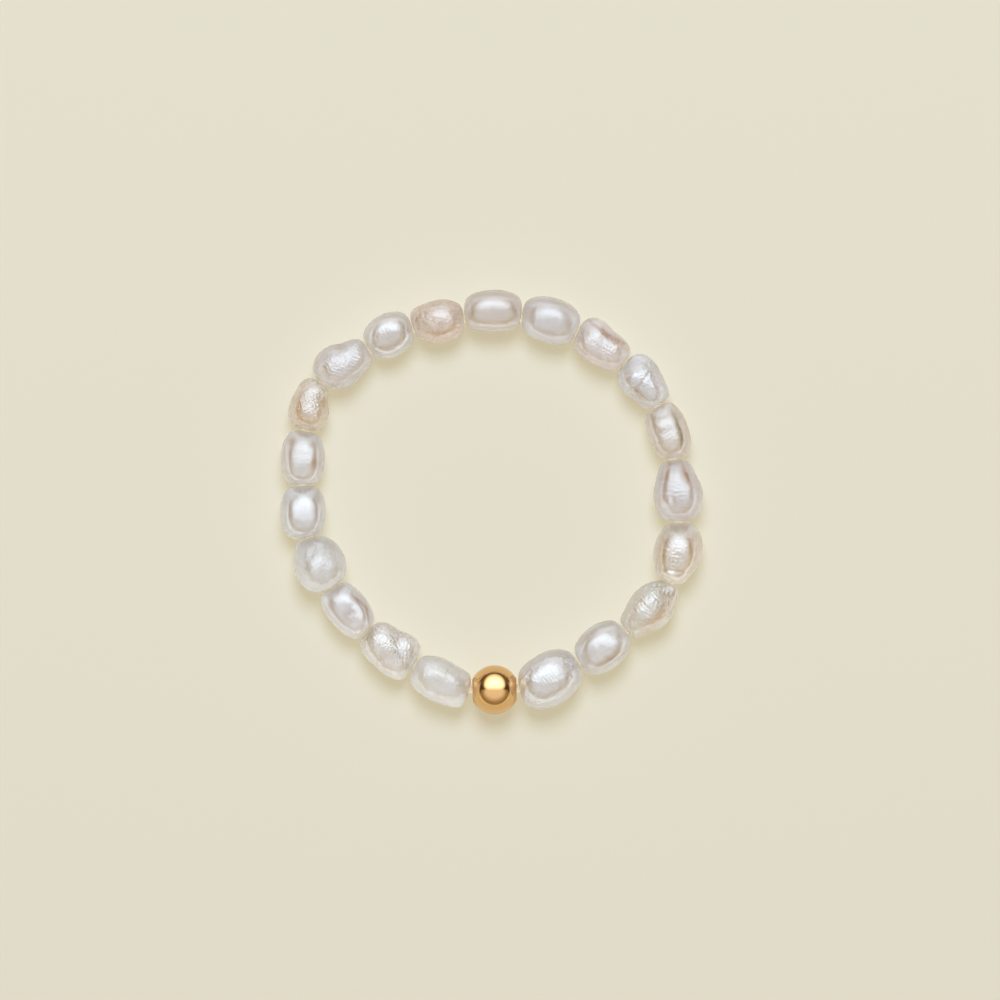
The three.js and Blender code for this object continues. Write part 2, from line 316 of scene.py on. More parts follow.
def addStrip(strip):
    direction = pointing(90, strip["azimuth"])
    size = (2 * lightDistance, stripCard["height"])
    place = direction * lightDistance + Vector((0, 0, stripCard["height"] / 2))
    light = hangLight(strip["name"], "RECTANGLE", size, strip["glow"], stripCard["colour"], place)
    face(light, direction)
    return light


stripLamps = [addStrip(strip) for strip in strips]

# the room that the beads mirror past the panels: dark above and behind, with cream walls low down at the
# front and sides. A direction's share upwards or backwards, from 0 to 1, says where the walls fade out
room = {
    "ceiling": "#50422C",
    "wall": "#E4DECB",
    "glow": 1.0,
    "upFade": (0.17, 0.31),
    "backFade": (0.2, 0.6),
}

world = bpy.data.worlds.new("room")
bpy.context.scene.world = world
world.use_nodes = True
tree = world.node_tree
tree.nodes.clear()
outwards = addNode(tree, "ShaderNodeTexCoord").outputs["Generated"]
skyward = addNode(tree, "ShaderNodeSeparateXYZ", inputs={0: outwards})
fades = [
    addNode(
        tree,
        "ShaderNodeMapRange",
        {"interpolation_type": "SMOOTHSTEP"},
        {"Value": skyward.outputs[axis], **span("From", room[fade])},
    )
    for axis, fade in ((2, "upFade"), (1, "backFade"))
]
dark = addNode(
    tree, "ShaderNodeMath", {"operation": "MAXIMUM"}, {0: fades[0].outputs[0], 1: fades[1].outputs[0]}
)
shade = addNode(
    tree,
    "ShaderNodeMix",
    {"data_type": "RGBA"},
    {"Factor": dark.outputs[0], 6: toLinear(room["wall"]), 7: toLinear(room["ceiling"])},
)
background = addNode(
    tree, "ShaderNodeBackground", inputs={"Color": shade.outputs[2], "Strength": room["glow"]}
)
addNode(tree, "ShaderNodeOutputWorld", inputs={"Surface": background.outputs[0]})

# matt cream card, uncoated: it scatters light evenly, and its fibres only take the flatness off
card = {
    "halfSide": 1.5,
    "body": "#9E9C93",
    "glowColour": "#DACFAE",  # the room's even light on the card
    "glow": 0.73,
    "roughness": 0.85,
    "fibresPerMetre": 2500.0,  # tufts 0.4 mm apart, because single fibres are too fine to show
    "fibreHeight": 0.02 * mm,
    "fibreShare": 0.03,
}


def makeCard():
    material = newMaterial("matt cream card")
    tree = material.node_tree
    place = addNode(tree, "ShaderNodeTexCoord").outputs["Object"]
    fibre = addNode(
        tree, "ShaderNodeTexNoise", inputs={"Vector": place, "Scale": card["fibresPerMetre"], "Detail": 3.0}
    )
    bump = addNode(
        tree,
        "ShaderNodeBump",
        inputs={"Height": fibre.outputs[0], "Strength": card["fibreShare"], "Distance": card["fibreHeight"]},
    )
    shader = addNode(
        tree,
        "ShaderNodeBsdfPrincipled",
        inputs={
            "Base Color": toLinear(card["body"]),
            "Roughness": card["roughness"],
            "Specular IOR Level": 0.0,
            "Emission Color": toLinear(card["glowColour"]),
            "Emission Strength": card["glow"],
            "Normal": bump.outputs[0],
        },
    )
    addNode(tree, "ShaderNodeOutputMaterial", inputs={"Surface": shader.outputs[0]})
    return material


cardMaterial = makeCard()
corners = [(x * card["halfSide"], y * card["halfSide"], 0) for x, y in ((-1, -1), (1, -1), (1, 1), (-1, 1))]
floorMesh = bpy.data.meshes.new("floor")
floorMesh.from_pydata(corners, [], [(0, 1, 2, 3)])
floorMesh.materials.append(cardMaterial)
floor = bpy.data.objects.new("floor", floorMesh)
bpy.context.scene.collection.objects.link(floor)


# lets lights shine on the named things alone, or on everything but them
def aimLights(name, lights, things, state):
    receivers = bpy.data.collections.new(name)
    for thing in things:
        receivers.objects.link(thing)
    for entry in receivers.collection_objects:
        entry.light_linking.link_state = state
    for light in lights:
        light.light_linking.receiver_collection = receivers


aimLights("beads only", (*panelLamps, *bodyLamps), [floor], "EXCLUDE")
aimLights("card only", [cardLamp], [floor], "INCLUDE")
print("camera, lights and card ready")

# the string of beads, the same as in the CAD
gold = {
    "radius": 1.25,
    "wall": 0.25,
    "holeRadius": 0.4,
    "lipRadius": 0.58,
    "pitch": 2.5,
    "direction": -89.4,  # degrees about the ring's centre
    "sidesAround": 128,
    "stepsAlong": 96,
    "lipSteps": 9,
    "lipRise": 0.15,  # how far the lip's round stands out, as a part of its radius
    "holeInset": 0.03,  # how far the hole's edge lies inside the lip
}
thread = {
    "radius": 0.2,
    "height": 1.13,
    "knotRadius": 0.5,
    "bend": 0.3,  # it turns within this length at each side of a junction
    "sidesAround": 20,
    "pointsPerBead": 9,
}
pearl = {
    "boreRadius": 0.3,
    "boreSteps": (0.02, 0.06, 0.5, 0.94, 0.98),  # rings of points in the bore, close together at its edges
    "gap": 0.02,  # between neighbours
    "lobeBlend": 0.1,  # softness of the valleys between lobes
    "endRound": 0.2,  # radius of the edge where a neighbour flattens an end
    "sectionBlunt": 2.3,  # how much squarer than an ellipse a pearl is across the thread
    "crownFall": 0.36,  # how much lower a pearl is at its ends than its outline from above would make it
    "fallBlend": 0.16,  # softness of the line where that fall starts
    "flankShare": 0.4,  # how much of that fall there is a millimetre to the side
    "backRise": 0.03,  # how far the back rises again towards the ends
    "backHeight": 0.9,  # what is higher than this above the thread leans as a whole
    "farthestSkin": 3.0,  # no skin lies farther than this from the middle of the bore
    "upperSide": (-0.5, 0.15),  # heights between which the plain underside goes over to the upper side
    "underMarks": 0.6,  # how strong the marks are that the underside repeats
    "farWrinkles": 0.15,  # how strong wrinkles are outside their patches
    "swells": ((1.4, 0.012), (0.5, 0.003)),  # spacing and height of the broad unevenness
    "leastSwell": 0.3,  # how much of it the smoothest pearls have
    "smoothEnd": (0.02, 0.3),  # distances from a neighbour between which the relief sets in
    "smoothRim": 0.2,  # distance from the bore's edge within which it does
    "sidesAround": 144,
    "stepsAlong": 104,
}
ringRadii = (8, 12)  # the string's own radius is looked for between these

pearls = readTable(
    "name pitch junctionOut",
    [
        ("pearl_01", 3.31, -0.35),
        ("pearl_02", 2.88, -0.15),
        ("pearl_03", 3.37, 0.38),
        ("pearl_04", 3.13, -0.1),
        ("pearl_05", 3.22, -0.2),
        ("pearl_06", 2.84, 0.03),
        ("pearl_07", 2.78, 0.1),
        ("pearl_08", 2.88, -0.03),
        ("pearl_09", 2.94, -0.26),
        ("pearl_10", 2.88, -0.31),
        ("pearl_11", 2.68, -0.06),
        ("pearl_12", 2.48, 0.24),
        ("pearl_13", 2.95, 0.92),
        ("pearl_14", 2.57, 0.54),
        ("pearl_15", 2.79, 0.05),
        ("pearl_16", 2.68, -0.11),
        ("pearl_17", 2.8, -0.37),
        ("pearl_18", 2.84, -0.28),
        ("pearl_19", 3.02, -0.32),
        ("pearl_20", 3.1, 0.07),
    ],
)
firstJunctionOut = 0.04  # between the gold bead and pearl_01


# how far round the ring a bead of this pitch reaches, between junctions that lie this far out
def spannedAngle(before, after, pitch):
    return acos((before**2 + after**2 - pitch**2) / (2 * before * after))


# each bead with its ends on the thread, its middle and its heading; the gold bead comes first
def stringBeads():
    outs = [firstJunctionOut] + [row["junctionOut"] for row in pearls]
    beads = [{"name": "gold_bead", "pitch": gold["pitch"], "before": outs[-1], "after": outs[0]}]
    beads += [
        {"name": row["name"], "pitch": row["pitch"], "before": outs[i], "after": outs[i + 1]}
        for i, row in enumerate(pearls)
    ]
    small, large = ringRadii
    for _ in range(halvings):
        radius = (small + large) / 2
        turned = sum(spannedAngle(radius + b["before"], radius + b["after"], b["pitch"]) for b in beads)
        small, large = (radius, large) if turned > tau else (small, radius)
    angle = radians(gold["direction"])
    angle -= spannedAngle(radius + beads[0]["before"], radius + beads[0]["after"], gold["pitch"]) / 2
    for bead in beads:
        before, after = radius + bead["before"], radius + bead["after"]
        start = np.array([cos(angle), sin(angle)]) * before
        angle += spannedAngle(before, after, bead["pitch"])
        end = np.array([cos(angle), sin(angle)]) * after
        bead["middle"] = (start + end) / 2
        bead["heading"] = atan2(*(end - start)[::-1])
    return beads


beads = stringBeads()
goldLow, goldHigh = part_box("gold_bead")
goldMiddle = (goldLow + goldHigh) / 2 / mm
shift = np.array(goldMiddle)[:2] - beads[0]["middle"]
for bead in beads:
    bead["middle"] = bead["middle"] + shift
    middle = Vector((*bead["middle"], thread["height"])) * mm
    bead["place"] = Matrix.Translation(middle) @ Matrix.Rotation(bead["heading"], 4, "Z")
print("beads strung, gold bead at height", round(goldMiddle[2], 4))

# the swellings of each pearl, in its own frame: along the thread, towards the ring's centre, and up
lobes = readTable(
    "pearl along inward halfLength halfWidth halfHeight turn blunt",
    [
        (1, -0.05, -0.18, 1.82, 1.37, 1.25, 7, 2.05),
        (2, 0, -0.04, 1.57, 1.19, 1.14, 5, 2.15),
        (3, 0.05, -0.08, 1.42, 1.15, 1.1, 0, 2),
        (3, -1.08, -0.03, 0.72, 0.74, 0.76, 0, 2.1),
        (3, 1.04, -0.05, 0.78, 0.62, 0.7, 0, 2.1),
        (4, 0.14, -0.12, 1.54, 1.22, 1.16, -6, 2.1),
        (4, -1.07, 0.02, 0.6, 0.8, 0.84, 0, 2.2),
        (5, -0.3, -0.06, 1.42, 1.26, 1.2, 0, 2.1),
        (5, 0.52, -0.02, 1.2, 0.98, 1, 0, 2.1),
        (6, -0.02, -0.12, 1.58, 1.04, 1.06, 3, 2.4),
        (7, 0.32, -0.1, 1.2, 1.08, 1.08, -8, 2.1),
        (7, -0.55, -0.14, 1, 0.89, 0.96, -4, 2.2),
        (8, 0.56, -0.08, 1, 1.05, 1.05, 0, 2.2),
        (8, -0.56, -0.02, 1.02, 0.93, 1, 0, 2.1),
        (8, 0, 0.18, 0.9, 0.8, 0.88, 0, 2),
        (9, 0, -0.2, 1.62, 1.16, 1.12, -4, 2.2),
        (10, -0.02, -0.34, 1.58, 1.09, 1.08, 0, 2.4),
        (10, 1.1, -0.1, 0.5, 0.56, 0.66, 0, 2.2),
        (10, -1.1, -0.14, 0.5, 0.56, 0.66, 0, 2.2),
        (11, -0.12, -0.1, 1.34, 1.12, 1.1, 0, 2.1),
        (11, 0.78, -0.22, 0.7, 0.8, 0.84, 0, 2.3),
        (12, -0.03, -0.22, 1.4, 1.12, 1.1, 2, 2.2),
        (13, 0.32, -0.18, 1.28, 1.16, 1.12, -10, 2),
        (13, -0.62, -0.1, 1, 0.88, 0.98, 0, 2.2),
        (14, 0.34, -0.1, 1.06, 1.03, 1.05, 0, 2.1),
        (14, -0.46, -0.28, 0.93, 0.8, 0.9, 0, 2.2),
        (14, -0.95, 0, 0.5, 0.52, 0.66, 0, 2.1),
        (15, 0.12, -0.02, 1.4, 1.12, 1.09, 2, 2.4),
        (15, -0.58, -0.05, 0.95, 0.9, 0.94, 0, 2.2),
        (16, 0, -0.12, 1.5, 1.16, 1.12, -7, 2.3),
        (17, 0.14, -0.08, 1.42, 1.33, 1.22, -10, 2.1),
        (17, -0.62, -0.08, 0.94, 0.9, 0.98, 0, 2.1),
        (18, 0.02, 0, 1.4, 1.04, 1.03, 4, 2.1),
        (18, 0.72, 0.04, 0.86, 0.84, 0.92, 4, 2.2),
        (18, -0.62, -0.05, 0.96, 0.93, 0.98, 0, 2.2),
        (19, -0.45, 0.02, 1.2, 1.08, 1.07, 0, 2.1),
        (19, 0.55, 0.42, 0.98, 0.8, 0.86, 0, 2.1),
        (19, 0.55, -0.35, 1.02, 0.86, 0.95, 0, 2.1),
        (19, 1.02, 0.02, 0.62, 0.6, 0.7, 0, 2.2),
        (20, -0.05, -0.15, 1.64, 1.1, 1.12, -4, 2.25),
        (20, 1, -0.16, 0.63, 0.88, 0.92, -8, 2.5),
    ],
)

# what sets one pearl apart from the next, on its upper side: bumps, dents, creases and warm patches. The warm
# patches are partly real stains and partly painted shade: darker bands beside the highlights, where the gloss
# mirrors the dark room, and darker creases. long and wide are the mark's own spread, turn is from the thread,
# height is outwards, and the last column is the warm tint, of real stains and of painted shade, which below
# nought takes warmth away and whitens the body under a highlight, a slight painted highlight
marks = readTable(
    "pearl along inward long wide turn height stain",
    [
        (2, 0, -0.72, 0.7, 0.14, 0, 0, 0.5),
        (2, 0, 0.8, 0.6, 0.12, 0, 0, 0.4),
        (3, 0.5, 0.25, 0.35, 0.3, 0, 0.06, -0.1),
        (3, -0.55, 0.2, 0.25, 0.25, 0, 0.05, 0),
        (3, -0.08, 0.25, 0.07, 0.35, 10, -0.025, 0.3),
        (3, -0.45, -0.35, 0.1, 0.1, 0, 0.03, 0),
        (3, -1.35, 0, 0.09, 0.12, 0, 0.02, 0),
        (3, 0.45, -0.8, 0.08, 0.08, 0, 0.02, 0),
        (3, 0.1, -0.6, 0.8, 0.25, 0, 0, 0.3),
        (4, 0.55, -0.15, 0.5, 0.35, 0, 0.02, -0.1),
        (4, -0.93, 0, 0.06, 0.5, 0, -0.04, 0.4),
        (4, -1.13, 0.1, 0.15, 0.2, 0, 0.11, -0.1),
        (4, 0.4, 0.62, 0.32, 0.13, -18, 0, 0.6),
        (4, -0.35, 0.66, 0.35, 0.13, 12, 0, 0.8),
        (4, 0.45, -0.74, 0.32, 0.14, 18, 0, 0.9),
        (4, -0.3, -0.84, 0.32, 0.14, -10, 0, 0.4),
        (5, 0.8, -0.1, 0.4, 0.18, 0, 0.03, -0.1),
        (5, -0.65, 0.45, 0.16, 0.13, 0, 0.06, 0),
        (5, -0.55, 0.2, 0.25, 0.06, 10, -0.03, 0.2),
        (5, 0.85, 0.4, 0.4, 0.07, -15, 0, 0.9),
        (5, 0.85, -0.52, 0.4, 0.07, 15, 0, 0.9),
        (6, 0.07, 0, 0.13, 0.4, 0, -0.015, 0.2),
        (6, 0.85, 0, 0.12, 0.4, 0, -0.02, 0.2),
        (6, 0, -0.62, 0.7, 0.11, 0, 0, 0.9),
        (6, 0.1, 0.35, 0.12, 0.1, 0, -0.018, 0.3),
        (7, 0.05, -0.1, 0.4, 0.07, -75, -0.04, 0.4),
        (7, 0.5, 0, 0.32, 0.3, 0, 0.06, 0),
        (7, -0.34, 0.45, 0.3, 0.15, 0, 0, 0.5),
        (7, 0.1, -0.1, 0.6, 0.45, 0, -0.02, 0),
        (7, -0.36, -0.3, 0.3, 0.22, 0, 0.06, 0),
        (7, 0.6, -0.75, 0.1, 0.08, 0, -0.02, 0.6),
        (8, 0.7, -0.3, 0.25, 0.3, 0, 0.03, -0.1),
        (8, -0.39, -0.25, 0.3, 0.25, 0, 0.05, 0),
        (8, -0.1, -0.62, 0.5, 0.08, -5, 0, 0.9),
        (8, -0.7, -0.4, 0.12, 0.12, 0, 0.02, 0),
        (8, -0.5, -0.68, 0.4, 0.06, 10, -0.01, 0.6),
        (8, 0.5, -0.66, 0.5, 0.06, -5, -0.01, 0.6),
        (11, -0.15, 0.12, 0.12, 0.15, 0, -0.03, 0.4),
        (11, 0, 0.45, 0.6, 0.12, 0, 0, 0.5),
        (12, 0.6, -0.45, 0.08, 0.08, 0, -0.02, 0.2),
        (12, 0, 0.1, 0.6, 0.3, 0, 0, 0.3),
        (13, 0.45, 0, 0.25, 0.25, 0, -0.02, 0),
        (13, -0.4, -1.0, 0.15, 0.2, 0, -0.05, 0.2),
        (14, -0.35, -0.05, 0.25, 0.25, 0, 0.03, -0.1),
        (14, -0.4, 0.48, 0.25, 0.06, 20, -0.02, 0.7),
        (14, 0.35, -0.4, 0.08, 0.08, 0, 0.02, 0),
        (14, 0.1, -0.55, 0.6, 0.15, 0, 0, 0.5),
        (14, 0.75, -0.1, 0.35, 0.35, 0, 0, 0.35),
        (15, 0.2, 0.6, 0.2, 0.12, 0, -0.01, 0.5),
        (15, -0.7, 0.4, 0.12, 0.12, 0, -0.01, 0.5),
        (15, -0.8, -0.6, 0.12, 0.12, 0, -0.01, 0.5),
        (15, -0.2, -0.1, 0.12, 0.4, 0, -0.012, 0.1),
        (16, -0.5, 0.7, 0.3, 0.1, 0, 0, 0.4),
        (16, -0.3, -0.85, 0.3, 0.1, 0, 0, 0.4),
        (17, 0, -0.15, 0.6, 0.22, -45, 0.05, -0.1),
        (17, -0.55, -0.2, 0.35, 0.12, -45, -0.02, 0.1),
        (17, 1.2, -0.2, 0.1, 0.12, 0, 0.02, 0),
        (18, -0.5, 0.2, 0.3, 0.2, 0, 0.02, -0.1),
        (18, 0.75, 0.2, 0.2, 0.2, 0, 0.03, -0.1),
        (18, 0.2, 0.1, 0.3, 0.5, 0, -0.022, 0.5),
        (18, 0.05, 0.75, 0.35, 0.05, 12, -0.01, 0.7),
        (18, 0.8, 0.65, 0.4, 0.05, -25, -0.01, 0.7),
        (19, -0.5, 0.15, 0.3, 0.25, 0, 0.02, -0.1),
        (19, 0.1, 0.7, 0.1, 0.2, 0, -0.03, 0.3),
        (19, 0.5, 0.05, 0.5, 0.1, -10, -0.01, 0.3),
        (19, 0.18, 0.05, 0.22, 0.25, 0, 0.06, 0),
        (19, -1.25, 0, 0.15, 0.4, 0, 0, 0.7),
        (20, 0.15, 0.5, 0.06, 0.2, 0, -0.02, 0.1),
        (20, -0.35, 0.1, 0.3, 0.3, 0, 0.04, 0),
        (20, 0.9, 0, 0.3, 0.3, 0, 0.02, 0),
    ],
)

# patches of fine wrinkles and brushed growth lines: how far the patch reaches, the distance between lines,
# the direction across them, how much that direction wanders, and their height
wrinkles = readTable(
    "pearl along inward reach spacing turn wander height",
    [
        (1, 0, 0.1, 0.8, 0.13, 15, 12, 0.003),
        (1, 0, -0.65, 0.4, 0.12, 10, 25, 0.003),
        (3, 0.5, 0.3, 0.4, 0.16, 0, 90, 0.0084),
        (3, -0.5, 0.1, 0.4, 0.16, 0, 90, 0.0042),
        (4, -0.4, 0, 0.3, 0.18, 0, 90, 0.0084),
        (4, 0.5, 0, 0.5, 0.14, 0, 30, 0.0028),
        (5, -0.2, 0, 0.6, 0.2, 0, 20, 0.0028),
        (6, -0.35, -0.1, 0.4, 0.2, 0, 15, 0.002),
        (7, 0, -0.2, 0.5, 0.15, 0, 90, 0.0056),
        (8, -0.3, -0.1, 0.3, 0.14, 0, 90, 0.007),
        (8, 0.7, -0.2, 0.4, 0.15, 0, 90, 0.0042),
        (11, 0, -0.4, 0.6, 0.11, 0, 90, 0.003),
        (12, 0, -0.6, 0.5, 0.18, 0, 40, 0.0028),
        (13, 0.45, 0, 0.3, 0.16, 0, 90, 0.0084),
        (13, -0.5, -0.2, 0.6, 0.14, 30, 25, 0.0042),
        (14, -0.3, -0.05, 0.35, 0.14, 0, 90, 0.0084),
        (14, 0.8, -0.6, 0.25, 0.15, 60, 10, 0.0084),
        (15, 0, -0.1, 0.7, 0.2, 0, 40, 0.0012),
        (17, 0, 0, 0.7, 0.16, 0, 90, 0.0028),
        (19, -0.5, 0.15, 0.4, 0.14, 0, 90, 0.007),
        (19, 0.6, 0.1, 0.5, 0.15, 60, 30, 0.008),
        (20, -0.3, 0.1, 0.4, 0.15, 0, 90, 0.006),
        (20, 0.6, 0, 0.5, 0.2, 0, 90, 0.0028),
    ],
)


# how far the smooth union of a pearl's lobes lies from each point, below nought inside it
def lobeField(rows, drop, points):
    total = 0
    blunt = pearl["sectionBlunt"]
    for lobe in rows:
        turn = radians(lobe["turn"])
        dx, dy = points[..., 0] - lobe["along"], points[..., 1] - lobe["inward"]
        x = (cos(turn) * dx + sin(turn) * dy) / lobe["halfLength"]
        y = (cos(turn) * dy - sin(turn) * dx) / lobe["halfWidth"]
        z = (points[..., 2] - drop) / lobe["halfHeight"]
        across = (np.abs(y) ** blunt + np.abs(z) ** blunt) ** (1 / blunt)
        size = (np.abs(x) ** lobe["blunt"] + across ** lobe["blunt"]) ** (1 / lobe["blunt"])
        smallest = min(lobe["halfLength"], lobe["halfWidth"], lobe["halfHeight"])
        total = total + np.exp(-(size - 1) * smallest / pearl["lobeBlend"])
    return -pearl["lobeBlend"] * np.log(total + tiny)


# the planes that part a bead from its two neighbours, in its own frame
def endPlanes(index):
    bead, planes = beads[index], []
    for neighbour, side in ((beads[index - 1], -1), (beads[(index + 1) % len(beads)], 1)):
        turn = neighbour["heading"] - bead["heading"]
        lean = atan2(sin(turn), cos(turn)) / 2
        reach = bead["pitch"] / 2 * cos(lean) - pearl["gap"] / 2
        planes.append((side * cos(lean), side * sin(lean), reach))
    return planes


def directions(tilt, around):
    tilt, around = np.broadcast_arrays(tilt, around)
    return np.stack([np.cos(tilt), np.sin(tilt) * np.cos(around), np.sin(tilt) * np.sin(around)], -1)


def surfaceDistance(field, aims):
    near, far = np.zeros(aims.shape[:-1]), np.full(aims.shape[:-1], pearl["farthestSkin"])
    for _ in range(halvings):
        middle = (near + far) / 2
        inside = field(aims * middle[..., None]) < 0
        near, far = np.where(inside, middle, near), np.where(inside, far, middle)
    return (near + far) / 2


# the tilts from the thread at which the skin meets the bore, at one end and at the other
def boreRims(field, around):
    rims = []
    for endTilt in (0, pi):
        inside, outside = np.full(len(around), float(endTilt)), np.full(len(around), pi / 2)
        for _ in range(halvings):
            middle = (inside + outside) / 2
            reached = surfaceDistance(field, directions(middle, around)) * np.sin(middle)
            within = reached < pearl["boreRadius"]
            inside, outside = np.where(within, middle, inside), np.where(within, outside, middle)
        rims.append((inside + outside) / 2)
    return rims


bellyTilts = np.linspace(0.1, pi - 0.1, 60)  # radians from the thread, enough to find a pearl's lowest point


# a pearl's skin without its relief, round the bore in rows and from rim to rim in columns
def smoothSkin(index, planes, around):
    rows = rowsOf(lobes, index)

    # the pearl hangs on the thread with its belly on the table
    aims = directions(bellyTilts[None, :], around[:, None])
    belly = (aims[..., 2] * surfaceDistance(lambda p: lobeField(rows, 0, p), aims)).min()
    drop = -thread["height"] - belly
    edge = pearl["endRound"]

    def field(points):
        value = lobeField(rows, drop, points)
        for nx, ny, reach in planes:
            past = nx * points[..., 0] + ny * points[..., 1] - reach
            rounded = np.hypot(np.maximum(value + edge, 0), np.maximum(past + edge, 0))
            value = np.where(rounded > 0, rounded - edge, np.maximum(value, past))
        return value

    first, last = boreRims(field, around)
    share = np.linspace(0, 1, pearl["stepsAlong"] + 1)
    aims = directions(first[:, None] + (last - first)[:, None] * share[None, :], around[:, None])
    return aims * surfaceDistance(field, aims)[..., None]


# climb is how far waves tilt upwards, and spread is the range of their spacings
ripple = {"waves": 16, "climb": 0.35, "spread": (0.75, 1.4)}


# waves of about one spacing that cross a surface in many directions, for growth lines and unevenness
def ripples(points, random, spacing, turn, wander):
    total = 0
    for _ in range(ripple["waves"]):
        heading = radians(turn) + random.normal(0, 1) * radians(wander)
        rise = random.normal(0, ripple["climb"])
        pace = tau / (spacing * random.uniform(*ripple["spread"]))
        wave = np.array([cos(heading), sin(heading), rise]) * pace
        total = total + np.sin(points @ wave + random.uniform(0, tau))
    return total / sqrt(ripple["waves"] / 2)


def markSpread(mark, x, y):
    turn = radians(mark["turn"])
    dx, dy = x - mark["along"], y - mark["inward"]
    u = (cos(turn) * dx + sin(turn) * dy) / mark["long"]
    v = (cos(turn) * dy - sin(turn) * dx) / mark["wide"]
    return np.exp(-(u * u + v * v) / 2)


# how far each point of a skin is raised by swells, marks and wrinkles, and how much warm tint it has, of real
# stains and of painted shade
def relief(index, skin, above, random):
    x, y = skin[..., 0], skin[..., 1]
    least = pearl["leastSwell"]
    raised = sum(ripples(skin, random, spacing, 0, 90) * height for spacing, height in pearl["swells"])
    raised = raised * min(1, least + (1 - least) * looks[index - 1]["lines"])
    stain = 0
    # each mark adds real stain or painted shade and highlight to the warm tint, as its row says
    for mark in rowsOf(marks, index):
        under = pearl["underMarks"] * markSpread(mark, -x, -y) * (1 - above)
        spread = markSpread(mark, x, y) * above + under
        raised = raised + spread * mark["height"]
        stain = stain + spread * mark["stain"]
    for patch in rowsOf(wrinkles, index):
        spread = np.exp(-((x - patch["along"]) ** 2 + (y - patch["inward"]) ** 2) / (2 * patch["reach"] ** 2))
        spread = spread * above + pearl["farWrinkles"]
        lines = ripples(skin, random, patch["spacing"], patch["turn"], patch["wander"])
        raised = raised + spread * lines * patch["height"]
    return raised, stain


# from above the ends look blunt, but the crown slopes down to them and to the flanks, and the back leans a
# little along and across the thread
def crownHeight(skin, smooth, look, halfPitch):
    bore = pearl["boreRadius"]
    spread = (skin[..., 0] / halfPitch) ** 2 + pearl["flankShare"] * skin[..., 1] ** 2
    fall = pearl["crownFall"] * np.minimum(spread, 1) ** 2
    overBore = skin[..., 2] - bore
    height = skin[..., 2] - fall * (overBore + np.hypot(overBore, pearl["fallBlend"])) / 2
    x, y, z = (smooth[..., i] for i in range(3))
    lean = tan(radians(look["tip"])) * x + tan(radians(look["roll"])) * y
    lean = lean + pearl["backRise"] * (x / halfPitch) ** 2
    return np.maximum(height + smoothStep(bore, pearl["backHeight"], z) * lean, -thread["height"])


# outward normals of a skin
def outward(skin):
    alongSkin = np.gradient(skin, axis=1)
    roundSkin = (np.roll(skin, -1, 0) - np.roll(skin, 1, 0)) / 2
    normal = np.cross(alongSkin, roundSkin)
    normal /= np.linalg.norm(normal, axis=-1, keepdims=True) + tiny
    return -normal if (normal * skin).sum() < 0 else normal


def toNeighbour(points, planes):
    return [reach - nx * points[..., 0] - ny * points[..., 1] for nx, ny, reach in planes]


# a pearl's skin and bore, with the warm tint of stains and painted shade at each point, and the nearness to a
# neighbour that sets the painted glow at the ends
def pearlGrid(index, random):
    planes, bore = endPlanes(index), pearl["boreRadius"]
    look, halfPitch = looks[index - 1], pearls[index - 1]["pitch"] / 2
    around = np.arange(pearl["sidesAround"]) / pearl["sidesAround"] * tau
    smooth = smoothSkin(index, planes, around)
    above = smoothStep(*pearl["upperSide"], smooth[..., 2])
    raised, stain = relief(index, smooth, above, random)
    # nothing is raised at the ends, where the neighbours are, or round the bore
    for distance in toNeighbour(smooth, planes):
        raised = raised * smoothStep(*pearl["smoothEnd"], distance)
    raised = raised * smoothStep(bore, bore + pearl["smoothRim"], np.hypot(smooth[..., 1], smooth[..., 2]))
    skin = smooth + outward(smooth) * raised[..., None]
    skin[..., 2] = crownHeight(skin, smooth, look, halfPitch)
    # painted shade: a darker warm band round the shoulder, where the gloss mirrors the dark ceiling, painted
    # into the colour as if the nacre were thinnest there and the warm body showed through it
    slope = np.degrees(np.arccos(np.clip(outward(skin)[..., 2], -1, 1)))
    shoulder = np.exp(-(((slope - nacre["shoulderSlope"]) / nacre["shoulderWidth"]) ** 2))
    stain = stain + nacre["shoulderPaintedShade"] * shoulder * above

    # the bore, from the last rim back to the first
    wall = []
    for part in pearl["boreSteps"]:
        x = skin[:, -1, 0] + (skin[:, 0, 0] - skin[:, -1, 0]) * part
        wall.append(np.stack([x, bore * np.cos(around), bore * np.sin(around)], -1))
    grid = np.concatenate([skin, np.stack(wall, 1)], 1)
    plain = np.zeros((len(around), len(wall)))
    stain = np.concatenate([np.broadcast_to(stain, skin.shape[:2]), plain], 1)
    return grid, stain, 1 - smoothStep(0, nacre["endGlowReach"], np.min(toNeighbour(grid, planes), 0))


